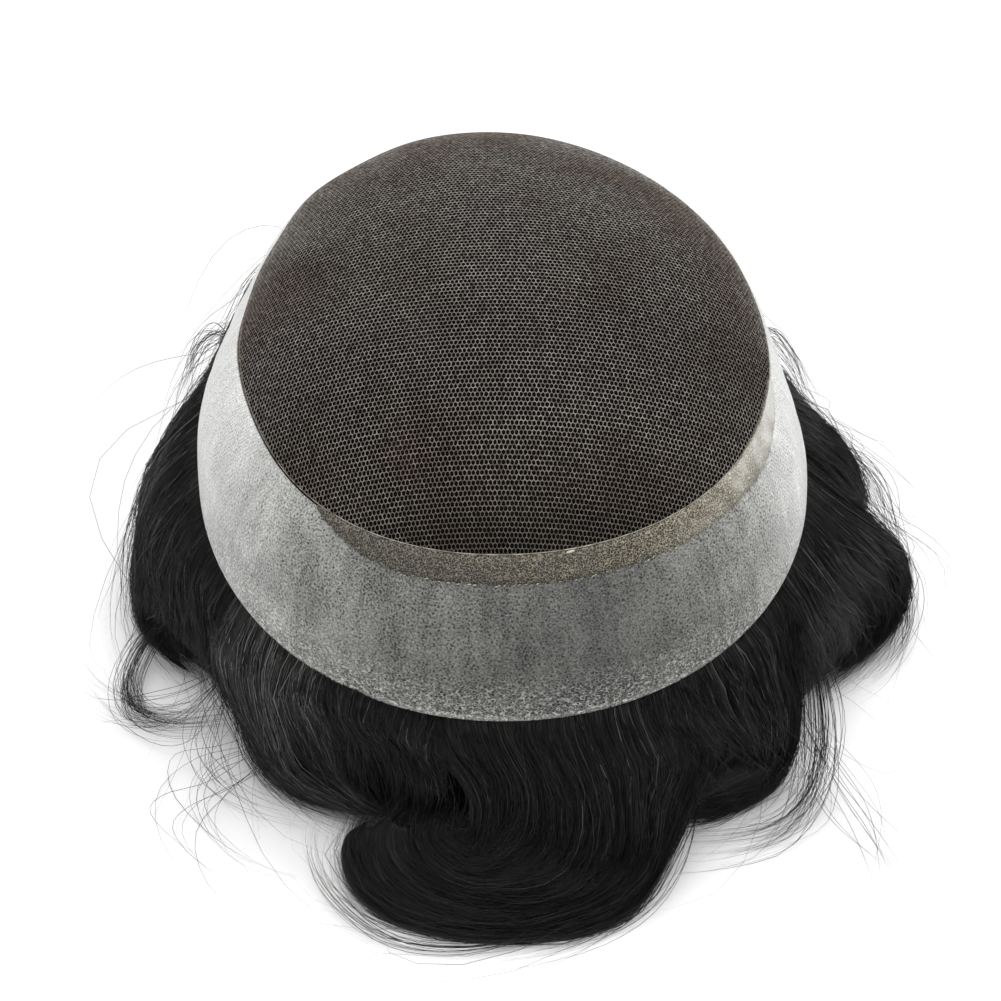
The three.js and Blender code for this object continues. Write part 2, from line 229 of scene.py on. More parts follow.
# Material with short ways to add its nodes.
class Shade:
    def __init__(self, name):
        self.material = bpy.data.materials.new(name)
        self.material.use_nodes = True
        self.nodes = self.material.node_tree.nodes
        self.links = self.material.node_tree.links
        self.main = self.nodes["Principled BSDF"]

    def add(self, kind, **settings):
        node = self.nodes.new(kind)
        for key, value in settings.items():
            setattr(node, key, value)
        return node

    # A stop is a place and a colour, or one number for a grey.
    def ramp(self, value, stops):
        node = self.add("ShaderNodeValToRGB")
        while len(node.color_ramp.elements) < len(stops):
            node.color_ramp.elements.new(0.5)
        for element, (place, color) in zip(node.color_ramp.elements, stops):
            element.position = place
            element.color = (*color, 1) if isinstance(color, tuple) else (color, color, color, 1)
        self.links.new(value, node.inputs[0])
        return node.outputs[0]

    # Own map or Object coordinates, stretched.
    def stretched(self, output, stretch):
        place = self.add("ShaderNodeTexCoord")
        mapping = self.add("ShaderNodeMapping")
        mapping.inputs["Scale"].default_value = stretch
        self.links.new(place.outputs[output], mapping.inputs["Vector"])
        return mapping.outputs[0]

    def noise(self, scale, detail=3, output="UV", stretch=(1, 1, 1)):
        node = self.add("ShaderNodeTexNoise")
        node.inputs["Scale"].default_value = scale
        node.inputs["Detail"].default_value = detail
        self.links.new(self.stretched(output, stretch), node.inputs[0])
        return node.outputs[0]

    # Distance to the edge of random cells.
    def cells(self, scale, output="UV"):
        node = self.add("ShaderNodeTexVoronoi", feature="DISTANCE_TO_EDGE")
        node.inputs["Scale"].default_value = scale
        self.links.new(self.stretched(output, (1, 1, 1)), node.inputs["Vector"])
        return node.outputs["Distance"]

    # A value's way from 0.5, times a gain.
    def around(self, value, gain):
        return self.times(self.math("SUBTRACT", value, 0.5), gain)

    # Values added up in turn.
    def total(self, first, *others):
        for other in others:
            first = self.math("ADD", first, other)
        return first

    def times(self, first, second):
        return self.math("MULTIPLY", first, second)

    def attribute(self, name):
        return self.add("ShaderNodeAttribute", attribute_name=name).outputs["Fac"]

    # Material with its last plain values set.
    def done(self, rough=None, specular=None):
        for key, value in (("Roughness", rough), ("Specular IOR Level", specular)):
            if value is not None:
                self.main.inputs[key].default_value = value
        return self.material

    def color(self, value):
        self.links.new(value, self.main.inputs["Base Color"])

    # Sine of a slanting distance on the map, with its phase pushed by a wobble.
    def wave(self, steps, wobble):
        place = self.add("ShaderNodeTexCoord")
        phase = self.add("ShaderNodeVectorMath", operation="DOT_PRODUCT")
        self.links.new(place.outputs["UV"], phase.inputs[0])
        phase.inputs[1].default_value = (*steps, 0)
        return self.math("SINE", self.total(phase.outputs["Value"], wobble), 0)

    def math(self, operation, first, second):
        node = self.add("ShaderNodeMath", operation=operation)
        for slot, value in enumerate((first, second)):
            if isinstance(value, (int, float)):
                node.inputs[slot].default_value = value
            else:
                self.links.new(value, node.inputs[slot])
        return node.outputs[0]

    def mix(self, factor, first, second, blend="MIX"):
        node = self.add("ShaderNodeMix", data_type="RGBA", blend_type=blend)
        for slot, value in ((0, factor), (6, first), (7, second)):
            if isinstance(value, (int, float)):
                node.inputs[slot].default_value = value
            elif isinstance(value, tuple):
                node.inputs[slot].default_value = (*value, 1)
            else:
                self.links.new(value, node.inputs[slot])
        return node.outputs[2]

    # One colour times another.
    def tinted(self, first, second):
        return self.mix(1.0, first, second, "MULTIPLY")

    def bump(self, height, distance, strength):
        node = self.add("ShaderNodeBump")
        node.inputs["Strength"].default_value = strength
        node.inputs["Distance"].default_value = distance
        self.links.new(height, node.inputs["Height"])
        self.links.new(node.outputs[0], self.main.inputs["Normal"])


# Net of hexagonal cells. Lean is how far its rows are turned, in degrees.
net = {
    "pitch": 0.00100, "row": 0.00118, "zigzag": 0.0004, "thread": 0.00023, "ridge": 0.00014,
    "lean": -5.9, "jitter": 0.00005, "seed": 5, "reachX": 0.1, "reachY": 0.12, "shrink": 1.15, "napeShadeTo": 0.85,
}


# Dome azimuth and way down of a point on the flat cloth: its angle stays, and its distance
# from the middle becomes the length along the dome from the crown.
def clothToDome(flat):
    around = np.arctan2(flat[:, 1], flat[:, 0])
    distance = np.hypot(flat[:, 0], flat[:, 1])
    rays = np.linspace(-math.pi, math.pi, 241)
    downs = np.linspace(0, 1, 241)
    rayPoints = plainPoint(rays[:, None], downs[None, :])
    lengths = np.cumsum(np.linalg.norm(np.diff(rayPoints, axis=1), axis=-1), axis=1)
    lengths = np.concatenate([np.zeros((len(rays), 1)), lengths], 1)
    reachTable = np.linspace(0, net["reachY"], 481)
    table = np.stack([np.interp(reachTable, ray, downs) for ray in lengths])
    x = (around + math.pi) / (2 * math.pi) * (len(rays) - 1)
    y = np.clip(distance / reachTable[-1], 0, 1) * (len(reachTable) - 1)
    i = np.minimum(x.astype(int), len(rays) - 2)
    j = np.minimum(y.astype(int), len(reachTable) - 2)
    fx, fy = x - i, y - j
    down = ((1 - fx) * (1 - fy) * table[i, j] + fx * (1 - fy) * table[i + 1, j]
            + (1 - fx) * fy * table[i, j + 1] + fx * fy * table[i + 1, j + 1])
    return around, down


# Honeycomb of cells whose shared corners are the thread crossings. Each cell adds six inner corners
# at its hole's edge. A thread is a ridge: high along the shared corners and low at the holes.
def makeNet():
    rng = np.random.default_rng(net["seed"])
    pitch, row = net["pitch"], net["row"]
    rows, columns = int(net["reachY"] / row), int(net["reachX"] / pitch)
    j, i = np.meshgrid(np.arange(-rows, rows + 1), np.arange(-columns, columns + 1), indexing="ij")
    cellX = (i + 0.5 * (j % 2)) * pitch
    cellY = j * row
    side = (row - net["zigzag"]) / 2
    tip = side + net["zigzag"]
    corner = np.array([(0.5, -side / pitch), (0.5, side / pitch), (0, tip / pitch),
                       (-0.5, side / pitch), (-0.5, -side / pitch), (0, -tip / pitch)]) * pitch
    centre = np.stack([cellX.ravel(), cellY.ravel()], -1)
    outer = centre[:, None] + corner[None]
    key = np.round(outer / 1e-6).astype(np.int64)
    _, first, shared = np.unique(key.reshape(-1, 2), axis=0, return_index=True, return_inverse=True)
    shared = shared.reshape(-1, 6)
    crossing = outer.reshape(-1, 2)[first]
    crossing = crossing + rng.normal(0, net["jitter"], crossing.shape)
    half = net["thread"] / 2
    shrink = 1 - half / np.linalg.norm(corner, axis=-1).mean() * net["shrink"]
    middle = crossing[shared].mean(1, keepdims=True)
    inner = middle + (crossing[shared] - middle) * shrink
    lean = math.radians(net["lean"])
    turn = np.array([[math.cos(lean), math.sin(lean)], [-math.sin(lean), math.cos(lean)]])
    crossAround, crossDown = clothToDome(crossing @ turn)
    holeAround, holeDown = clothToDome(inner.reshape(-1, 2) @ turn)
    edge = seamDown(crossAround)
    keep = (crossDown < edge)[shared].any(1)
    crossDown = np.minimum(crossDown, edge)
    holeDown = np.minimum(holeDown, seamDown(holeAround))
    ridge = domePoint(crossAround, crossDown, -net["ridge"] * 0.3)
    hole = domePoint(holeAround, holeDown, net["ridge"] * 0.7)
    left = centre[:, 0] < 0
    pieces = []
    for name, chosen in (("netLeft", keep & left), ("netRight", keep & ~left)):
        cells = np.flatnonzero(chosen)
        holeIds = len(ridge) + cells[:, None] * 6 + np.arange(6)
        following = np.roll(shared[cells], -1, 1)
        holeNext = np.roll(holeIds, -1, 1)
        top = np.stack([shared[cells], following, holeNext, holeIds], -1).reshape(-1, 4)
        used, top = np.unique(top, return_inverse=True)
        top = top.reshape(-1, 4)
        points = np.concatenate([ridge, hole])[used]
        # Share of the way towards the nape, which sets the thread's painted shade.
        front = np.clip((crown[1] - points[:, 1]) / dome["nape"] / net["napeShadeTo"], 0, 1)
        pieces.append(putMesh(name, points, top, None, {"front": front}))
    return pieces


# Thread: brown-grey with worn patches, with painted shade that changes from the middle to the nape, darkest
# and browner at the nape.
def netThread():
    shade = Shade("netThread")
    thread = shade.ramp(shade.noise(1000, 2, output="Object"), [
        (0.32, (0.045, 0.038, 0.033)), (0.5, (0.15, 0.135, 0.12)), (0.72, (0.33, 0.31, 0.285))])
    worn = shade.ramp(shade.noise(34, 4, output="Object"), [(0.38, (0.7, 0.6, 0.54)), (0.56, 1)])
    # Painted shade by place: darker just past the middle, and darkest and browner at the nape.
    front = shade.ramp(shade.attribute("front"), [
        (0, 1), (0.12, 0.8), (0.35, (0.83, 0.82, 0.81)), (0.58, (1, 0.98, 0.95)),
        (0.75, (0.78, 0.74, 0.69)), (0.88, (0.46, 0.42, 0.37))])
    shade.color(shade.tinted(shade.tinted(thread, front), worn))
    return shade.done(0.5)


# Film band. darkAt is the azimuth of its darkest place, in degrees, and rightPace how much faster
# it turns pale on the right.
band = {
    "rows": 20, "columns": 360, "outer": 0.0001, "thickness": 0.0007, "seat": 0.0006, "ripple": 0.00014,
    "darkAt": -80, "rightPace": 1.6, "dotPitch": 0.00105, "dotRow": 0.0011,
}


# Band: a closed shell on the dome from the seam to the rim, with soft upright ripples. It carries how
# far a place lies round from the darkest one, and how low it lies.
def makeBand():
    rows, columns = band["rows"], band["columns"]
    around = np.linspace(-math.pi, math.pi, columns, endpoint=False)
    share = np.linspace(0, 1, rows)[:, None]
    grid = np.broadcast_to(around, (rows, columns))
    start = seamDown(around) + lengthDown(around, seamDown(around), band["seat"])
    down = start * (1 - share) + rimDown(around) * share
    ripple = np.sin(grid * 23 + 2 * np.sin(grid * 5)) + 0.7 * np.sin(grid * 41 + 3 * np.sin(grid * 7))
    outer = domePoint(grid, down, band["outer"] - band["ripple"] * ripple * np.sin(share * math.pi))
    inner = domePoint(grid, down, band["thickness"])
    steps = np.linalg.norm(np.diff(outer, axis=0), axis=-1)
    along = np.concatenate([np.zeros((1, columns)), np.cumsum(steps, 0)])
    reach = dome["width"] / 2
    turned = turnFrom(grid, band["darkAt"]) / math.pi
    away = np.where(turned > 0, np.minimum(turned * band["rightPace"], 1), -turned)
    low = np.broadcast_to(share, grid.shape)
    uv = np.stack([grid * reach, along], -1)
    return shellMesh("filmBand", outer, inner, True, uv, {"away": away, "low": low}, 2 * math.pi * reach)


# Film: darkest where it lies over the hair at the nape and pale at the sides, with upright streaks that paint
# the light and shade of creases. The net cast into it shows as a crackle of small cells and as staggered
# dots.
def filmSkin():
    shade = Shade("filmSkin")
    away = shade.attribute("away")
    low = shade.attribute("low")
    streak = shade.noise(1, 4, stretch=(430, 60, 1))
    blotch = shade.noise(75, 4)
    film = shade.ramp(shade.total(away, shade.around(blotch, 0.1)), [
        (0.0, (0.06, 0.061, 0.056)), (0.1, (0.088, 0.089, 0.081)), (0.2, (0.125, 0.127, 0.116)),
        (0.3, (0.185, 0.187, 0.175)), (0.4, (0.37, 0.373, 0.36)), (0.5, (0.6, 0.602, 0.59))])
    wobble = shade.times(shade.noise(300, 2), 3)
    turnX, turnY = 2 * math.pi / band["dotPitch"], math.pi / band["dotRow"]
    lattice = shade.total(shade.wave((turnX, turnY), wobble), shade.wave((turnX, -turnY), wobble))
    crackle = shade.math("SUBTRACT", 0.2, shade.cells(1300))
    grain = shade.total(shade.times(crackle, 3.7), shade.around(shade.noise(1700, 2), 4.4))
    deep = shade.ramp(away, [(0.25, 1), (0.45, 0.3)])
    texture = shade.total(shade.times(lattice, 0.1), shade.times(grain, deep))
    # Painted light and shade of creases as upright streaks, with mottled blotches of the film's own tone,
    # strongest on the dark film.
    creaseShadeAndMottle = shade.times(shade.total(shade.around(streak, 1.9), shade.around(blotch, 1.4)), deep)
    skin = shade.tinted(film, shade.total(texture, creaseShadeAndMottle, 1))
    # Painted glints: pale specks added to the colour near the rim.
    glintAt = shade.total(shade.times(crackle, 1.3), shade.noise(900, 2))
    glint = shade.ramp(glintAt, [(0.6, 0), (0.83, (0.75, 0.75, 0.72))])
    nearRim = shade.ramp(low, [(0.7, 0.05), (0.95, 0.6), (0.985, 1)])
    skin = shade.mix(nearRim, skin, shade.mix(1.0, skin, glint, "ADD"))
    # Painted highlight: a pale line along the rim's edge.
    rim = shade.ramp(low, [(0.97, 0), (0.985, (0.26, 0.26, 0.25))])
    shade.color(shade.mix(1.0, skin, rim, "ADD"))
    shade.bump(shade.total(texture, shade.around(streak, 0.6)), 0.0004, 0.6)
    return shade.done(0.36)


# Lap strip: azimuths and taper in degrees, and end as a share of its width.
lap = {
    "width": 0.0070, "from": -137, "to": -13, "taper": 26, "end": 0.12,
    "rows": 5, "columns": 480, "proud": 0.00018, "thickness": 0.0009, "ragged": 0.00022,
}
# Stitches of the lap: the share that is kept, how far they waver and slant, and the knot on the seam.
stitch = {
    "pitch": 0.0012, "length": 0.0008, "width": 0.00024, "from": -116, "to": -36, "kept": 0.7, "spread": 0.3,
    "waver": 0.00018, "sizes": (0.7, 1.3), "slant": (0.2, 0.3), "knotAt": -82.3, "knotDown": 0.0006,
    "knotSize": 2.9, "seed": 7,
}


# Width of the strip: a power of sine over the taper at either end.
def lapWidth(around):
    fromEnd = np.minimum(around - math.radians(lap["from"]), math.radians(lap["to"]) - around)
    share = np.clip(fromEnd / math.radians(lap["taper"]), 0, 1)
    return lap["width"] * (lap["end"] + (1 - lap["end"]) * np.sin(share * math.pi / 2) ** 0.8)


# Lap strip: a closed shell on the dome, as deep below the seam as its width there.
def makeLap():
    around = np.linspace(math.radians(lap["from"]), math.radians(lap["to"]), lap["columns"])
    share = np.linspace(0, 1, lap["rows"])[:, None]
    seam = seamDown(around)
    ragged = np.random.default_rng(stitch["seed"]).normal(0, lap["ragged"], len(around))
    down = seam + lengthDown(around, seam, 1) * (lapWidth(around) + ragged) * share
    grid = np.broadcast_to(around, down.shape)
    outer = domePoint(grid, down, -lap["proud"] * np.sin(share * math.pi) ** 0.3)
    inner = domePoint(grid, down, lap["thickness"])
    right = (grid - grid.min()) / (grid.max() - grid.min())
    return shellMesh("lapStrip", outer, inner, values={"right": right})


# Two layers of net on the film: pale threads round small dark holes, paler towards the right.
def lapCloth():
    shade = Shade("lapCloth")
    level = shade.times(shade.cells(1750, "Object"), 1.3)
    level = shade.total(level, shade.times(shade.noise(2200, 2, "Object"), 0.6))
    cloth = shade.ramp(level, [
        (0.3, (0.42, 0.39, 0.31)), (0.42, (0.13, 0.115, 0.088)), (0.52, (0.014, 0.012, 0.01))])
    place = shade.total(shade.attribute("right"), shade.around(shade.noise(150, 3, "Object"), 0.5))
    tint = shade.ramp(place, [
        (0.1, (0.46, 0.45, 0.43)), (0.45, (0.54, 0.52, 0.46)), (0.66, (0.95, 0.91, 0.8)),
        (0.9, (2.0, 2.0, 1.9))])
    flat = shade.ramp(place, [
        (0.65, (0.24, 0.23, 0.19)), (0.85, (0.42, 0.41, 0.37)), (0.95, (0.6, 0.6, 0.58))])
    thin = shade.ramp(place, [(0.6, 0), (0.8, 0.5), (0.95, 0.88)])
    shade.color(shade.mix(thin, shade.tinted(cloth, tint), flat))
    shade.bump(level, 0.0003, 0.6)
    return shade.done(0.5)


# Stitches: small pointed lumps along the lap's lower edge, each turned a little at random, and a knot
# of the same form on the seam.
def makeStitches():
    rng = np.random.default_rng(stitch["seed"])
    span = math.radians(stitch["to"] - stitch["from"])
    count = int(span * dome["nape"] * 0.9 / stitch["pitch"])
    place = (np.arange(count) + rng.uniform(-stitch["spread"], stitch["spread"], count)) / count
    around = math.radians(stitch["from"]) + span * place
    around = np.append(around[rng.uniform(0, 1, count) < stitch["kept"]], math.radians(stitch["knotAt"]))
    count = len(around)
    below = lapWidth(around) + rng.normal(0, stitch["waver"], count)
    size = rng.uniform(*stitch["sizes"], count)
    below[-1], size[-1] = stitch["knotDown"], stitch["knotSize"]
    down = seamDown(around) + lengthDown(around, seamDown(around), 1) * below
    normal = domeNormal(around, down)
    ahead = unit(domePoint(around + 0.01, down) - domePoint(around - 0.01, down))
    ahead = unit(ahead + np.cross(normal, ahead) * rng.normal(*stitch["slant"], count)[:, None])
    axes = np.stack([ahead, np.cross(normal, ahead), normal], 1) * size[:, None, None]
    turn = np.arange(6) * math.pi / 3
    half = [stitch["length"] / 2, stitch["width"] / 2, stitch["width"] / 2]
    rings = [np.stack([np.full(6, x), r * np.cos(turn), r * np.sin(turn)], -1)
             for x, r in ((-0.7, 0.7), (0, 1), (0.7, 0.7))]
    form = np.concatenate([*rings, [(-1, 0, 0), (1, 0, 0)]]) * half
    points = (domePoint(around, down, -0.0001)[:, None] + form @ axes).reshape(-1, 3)
    side = np.arange(6)
    beside = (side + 1) % 6
    quad = gridFaces(3, 6, False, True)
    one = np.concatenate([
        quad[:, [0, 1, 2]], quad[:, [0, 2, 3]], np.stack([np.full(6, 18), beside, side], -1),
        np.stack([np.full(6, 19), 12 + side, 12 + beside], -1)])
    one = facingOut(points[:20], one)
    faces = (one[None] + (np.arange(count) * 20)[:, None, None]).reshape(-1, 3)
    return putMesh("lapStitches", points, faces)


# Body of a hair mass. Its roots lie in from the rim and up from it, in millimetres.
hairBody = {
    "thick": 0.0055, "edge": 0.0026, "spacing": 0.0006, "rows": 30, "stations": 13, "ragged": 0.03,
    "broad": 0.0008, "groove": 0.0016, "fine": 0.0003, "drift": 0.034, "rootIn": 2.2, "rootUp": 1.5,
    "reach": 0.95, "tipThin": 0.88, "edgeThin": 0.6, "edgePower": 5,
}
# Each guide is its root azimuth and then its stations from the rim to the tip: around in degrees,
# out from the rim and up from the floor in millimetres.
hairMasses = {
    "hairRight": {"seed": 31, "strands": 900, "guides": [
        (36, (36, 3, 42), (35, 6, 33), (34, 9, 24), (33, 10, 13), (33, 8, 3)),
        (26, (26, 3, 41), (25, 7, 32), (24, 10, 23), (23, 12, 13), (23, 10, 3)),
        (17, (17, 4, 42), (16, 8, 35), (14, 12, 27), (12, 17, 17), (11, 16, 4)),
        (9, (9, 4, 43), (9, 10, 36), (7, 16, 29), (4, 20, 21), (3, 21, 13), (4, 18, 4)),
        (0, (0, 4, 43), (-1, 11, 36), (-2, 17, 28), (-3, 20, 20), (-3, 20, 12), (-2, 17, 4)),
    ]},
    "hairRightLow": {"seed": 32, "strands": 1150, "guides": [
        (-4, (-4, 4, 42), (-6, 12, 36), (-8, 20, 29), (-8, 25, 21), (-10, 26, 14), (-12, 25, 7),
         (-15, 20, 3)),
        (-11, (-11, 4, 42), (-12, 12, 36), (-12, 21, 28), (-11, 27, 19), (-14, 28, 12), (-17, 26, 6),
         (-21, 21, 3), (-26, 15, 2)),
        (-20, (-21, 4, 42), (-22, 10, 35), (-20, 17, 25), (-20, 21, 15), (-22, 19, 8), (-27, 14, 4)),
        (-29, (-30, 4, 41), (-31, 9, 34), (-29, 13, 24), (-28, 14, 13), (-29, 11, 6), (-32, 8, 4)),
        (-38, (-38, 4, 40), (-39, 8, 32), (-38, 10, 22), (-37, 10, 12), (-38, 8, 5)),
    ]},
    "hairFrontRight": {"seed": 33, "strands": 1500, "guides": [
        (-35, (-36, 4, 39), (-39, 8, 32), (-42, 13, 22), (-45, 16, 14), (-48, 18, 7), (-52, 18, 3),
         (-57, 16, 2), (-62, 14, 2), (-68, 10, 3)),
        (-43, (-43, 4, 40), (-45, 8, 34), (-47, 13, 26), (-49, 16, 17), (-51, 16, 9), (-55, 15, 5),
         (-59, 13, 5), (-65, 9, 6)),
        (-51, (-51, 4, 40), (-52, 8, 35), (-52, 13, 28), (-53, 16, 20), (-55, 15, 13), (-58, 13, 10),
         (-64, 10, 10)),
        (-59, (-59, 4, 40), (-59, 7, 36), (-58, 11, 30), (-58, 14, 23), (-60, 13, 18), (-64, 11, 16)),
        (-68, (-68, 4, 40), (-67, 6, 35), (-65, 10, 28), (-65, 12, 20), (-67, 12, 14), (-70, 11, 8)),
        (-76, (-76, 3, 39), (-74, 6, 32), (-72, 10, 22), (-72, 12, 12), (-74, 11, 4)),
    ]},
    # Its first strands across carry a painted sheen.
    "hairFrontLeft": {"seed": 34, "strands": 1300, "paintedSheenTo": 0.55, "guides": [
        (-155, (-155, 6, 38), (-155, 9, 29), (-153, 9, 19), (-149, 7, 11), (-143, 8, 6), (-137, 10, 3),
         (-130, 9, 2), (-121, 6, 3)),
        (-144, (-142, 6, 39), (-140, 9, 31), (-138, 10, 22), (-135, 9, 13), (-132, 8, 7), (-126, 7, 4),
         (-118, 5, 5)),
        (-134, (-133, 5, 40), (-131, 6, 32), (-129, 6, 22), (-126, 5, 12), (-121, 5, 8), (-115, 5, 7)),
        (-126, (-125, 4, 41), (-122, 5, 34), (-120, 5, 25), (-118, 5, 16), (-114, 5, 9)),
        (-117, (-117, 4, 41), (-114, 4, 36), (-112, 5, 27), (-112, 6, 16), (-113, 7, 6)),
        (-106, (-106, 3, 40), (-105, 5, 33), (-105, 8, 24), (-107, 11, 14), (-110, 12, 6)),
    ]},
    "hairLeft": {"seed": 35, "strands": 1250, "guides": [
        (-152, (-151, 4, 39), (-150, 5, 31), (-149, 5, 21), (-148, 5, 11), (-146, 5, 5)),
        (-162, (-161, 4, 40), (-158, 6, 34), (-158, 7, 23), (-157, 7, 13), (-154, 5, 7)),
        (-173, (-172, 5, 41), (-168, 9, 36), (-166, 12, 28), (-166, 12, 17), (-164, 9, 9), (-161, 5, 5)),
        (-187, (-187, 5, 42), (-184, 11, 37), (-179, 15, 30), (-175, 17, 22), (-172, 17, 14), (-169, 14, 8),
         (-165, 9, 5)),
        (-196, (-196, 5, 42), (-193, 11, 36), (-189, 15, 29), (-184, 18, 20), (-180, 20, 13), (-175, 20, 7),
         (-170, 17, 4), (-165, 12, 3)),
        (-204, (-203, 5, 42), (-201, 11, 36), (-197, 15, 29), (-194, 17, 22), (-190, 18, 15), (-187, 17, 8),
         (-184, 14, 3)),
        (-216, (-216, 5, 41), (-216, 9, 33), (-216, 13, 25), (-216, 15, 17), (-215, 14, 8), (-215, 12, 3)),
    ]},
    "hairBrow": {"seed": 36, "strands": 900, "guides": [
        (-213, (-213, 4, 42), (-213, 9, 34), (-214, 12, 25), (-214, 14, 14), (-213, 11, 3)),
        (-228, (-228, 5, 44), (-229, 10, 34), (-229, 14, 24), (-226, 15, 12), (-221, 12, 3)),
        (-248, (-248, 7, 47), (-246, 14, 38), (-243, 20, 25), (-239, 21, 12), (-235, 17, 3)),
        (-268, (-269, 7, 48), (-271, 15, 38), (-273, 20, 25), (-270, 19, 12), (-264, 14, 3)),
        (-290, (-289, 7, 47), (-288, 15, 38), (-285, 22, 25), (-281, 23, 12), (-276, 19, 3)),
        (-310, (-309, 6, 46), (-309, 12, 37), (-309, 15, 24), (-306, 14, 12), (-300, 11, 3)),
        (-327, (-326, 4, 43), (-327, 8, 33), (-327, 10, 23), (-327, 10, 12), (-326, 8, 3)),
    ]},
    "hairWave": {"seed": 37, "strands": 1450, "steps": 16, "guides": [
        (-64, (-64, 4, 39), (-63, 11, 32), (-66, 16, 24), (-71, 21, 14), (-75, 26, 6), (-80, 31, 3),
         (-87, 33, 2), (-94, 33, 2), (-101, 33, 2), (-108, 32, 2), (-114, 29, 3), (-119, 23, 4),
         (-121, 16, 7), (-120, 9, 11)),
        (-74, (-74, 4, 39), (-73, 11, 32), (-75, 15, 25), (-76, 21, 14), (-81, 26, 7), (-88, 29, 5),
         (-96, 30, 4), (-103, 29, 5), (-109, 26, 6), (-114, 21, 8), (-117, 15, 11), (-115, 9, 15)),
        (-83, (-83, 4, 39), (-81, 11, 31), (-82, 19, 21), (-86, 24, 12), (-93, 26, 8), (-99, 25, 8),
         (-105, 22, 9), (-109, 18, 12), (-110, 13, 15), (-109, 9, 17)),
        (-92, (-91, 4, 39), (-88, 9, 32), (-88, 16, 23), (-91, 21, 16), (-97, 22, 13), (-102, 21, 13),
         (-106, 18, 15), (-107, 14, 17), (-106, 10, 19)),
        (-101, (-99, 4, 39), (-96, 8, 33), (-95, 13, 26), (-97, 18, 21), (-100, 20, 18), (-103, 18, 18),
         (-105, 15, 19), (-104, 11, 20)),
        (-110, (-108, 4, 39), (-104, 6, 34), (-101, 10, 29), (-101, 13, 25), (-102, 15, 22), (-104, 14, 21),
         (-103, 10, 22)),
    ]},
}


# Catmull-Rom weights: one row for each place t, one column for each of the knots. Past either end
# the curve goes on straight.
def splineWeights(t, count):
    whole = np.asarray(t, float)
    t = np.clip(whole, 0, count - 1 - 1e-9)
    base = np.floor(t).astype(int)
    f = t - base
    parts = (-0.5 * f ** 3 + f ** 2 - 0.5 * f, 1.5 * f ** 3 - 2.5 * f ** 2 + 1,
             -1.5 * f ** 3 + 2 * f ** 2 + 0.5 * f, 0.5 * f ** 3 - 0.5 * f ** 2)
    weights = np.zeros((*t.shape, count))
    for step, part in enumerate(parts):
        knot = np.clip(base + step - 1, 0, count - 1)
        weights += part[..., None] * (np.arange(count) == knot[..., None])
    before, past = np.minimum(whole, 0), np.maximum(whole - count + 1, 0)
    weights[..., 0] -= before
    weights[..., 1] += before
    weights[..., -1] += past
    weights[..., -2] -= past
    return weights


# Point of the dome's rim at an azimuth.
def rimPoint(around):
    around = np.asarray(around, float)
    return domePoint(around, rimDown(around))


rimAngles = np.linspace(-2 * math.pi, 2 * math.pi, 721)
rimPlan = rimPoint(rimAngles) - crown
rimReach = np.hypot(rimPlan[:, 0], rimPlan[:, 1])


# Stations in degrees and millimetres as (radians, metres, metres), spread evenly along their spline.
def evenStations(stations, count):
    knots = np.array(stations) * [math.pi / 180, 0.001, 0.001]
    return splineWeights(np.linspace(0, len(knots) - 1, count), len(knots)) @ knots


# Point beside the rim: an azimuth, a distance out from the rim and a height.
def besideRim(place):
    around = place[..., 0]
    out = np.interp(around, rimAngles, rimReach) + place[..., 1]
    return np.stack([crown[0] + out * np.cos(around), crown[1] + out * np.sin(around), place[..., 2]], -1)


# Control table of a mass: guides by stations by (around, out, up), with a root under the rim's edge.
def massTable(name):
    rows = []
    for root, *stations in hairMasses[name]["guides"]:
        rimUp = float(rimPoint(math.radians(root))[2])
        start = (root, -hairBody["rootIn"], 1000 * rimUp + hairBody["rootUp"])
        rows.append(evenStations([start, *stations], hairBody["stations"]))
    return np.array(rows)


# Spline surface of a mass at u across its guides and s along its stations.
def massPoint(table, u, s):
    u, s = np.broadcast_arrays(u, s)
    across = splineWeights(u * (table.shape[0] - 1), table.shape[0])
    along = splineWeights(s * (table.shape[1] - 1), table.shape[1])
    return besideRim(np.einsum("...g,...s,gsk->...k", across, along, table, optimize=True))


# Outward normal: cross product of the two directions, turned by the way the guides run round.
def massNormal(table, u, s):
    step = 0.012
    sideways = massPoint(table, u + step, s) - massPoint(table, u - step, s)
    ahead = massPoint(table, u, s + step) - massPoint(table, u, s - step)
    side = 1 if table[-1, 0, 0] < table[0, 0, 0] else -1
    return unit(np.cross(sideways, ahead)) * side


# Smooth random field over u and s, from a small table of random knots.
def field(rng, u, s, acrossKnots, alongKnots):
    knots = rng.normal(0, 1, (acrossKnots, alongKnots))
    across = splineWeights(np.asarray(u) * (acrossKnots - 1), acrossKnots)
    along = splineWeights(np.asarray(s) * (alongKnots - 1), alongKnots)
    return np.einsum("...g,...s,gs->...", across, along, knots, optimize=True)


# Relief of a mass, felt by its body and its strands alike: broad swells, creases where a random
# field crosses zero, and fine ridges along the hair.
def massRelief(name, u, s):
    rng = np.random.default_rng(hairMasses[name]["seed"])
    swell = hairBody["broad"] * field(rng, u, s, 8, 4)
    crease = hairBody["groove"] * (np.minimum(np.abs(field(rng, u, s, 13, 4)), 0.8) - 0.4)
    ridges = hairBody["fine"] * field(rng, u, s, 60, 7)
    return (swell + crease + ridges) * np.clip(s * 4, 0, 1)


# Sideways drift of the hair inside a mass, so that it runs in soft waves.
def massDrift(name, u, s):
    rng = np.random.default_rng(hairMasses[name]["seed"] + 100)
    return hairBody["drift"] * field(rng, u, s, 6, 6) * s


# How near a place is to either edge: 0 in the middle, and a high power of the distance from it.
def massEdge(u):
    return np.clip(np.abs(2 * u - 1), 0, 1) ** hairBody["edgePower"]


# Thickness: less towards the tip, with the square of the way along, and less at the edges.
def massThick(u, s):
    tip = 1 - hairBody["tipThin"] * np.clip(s, 0, 1) ** 2
    return hairBody["thick"] * tip * (1 - hairBody["edgeThin"] * massEdge(u))


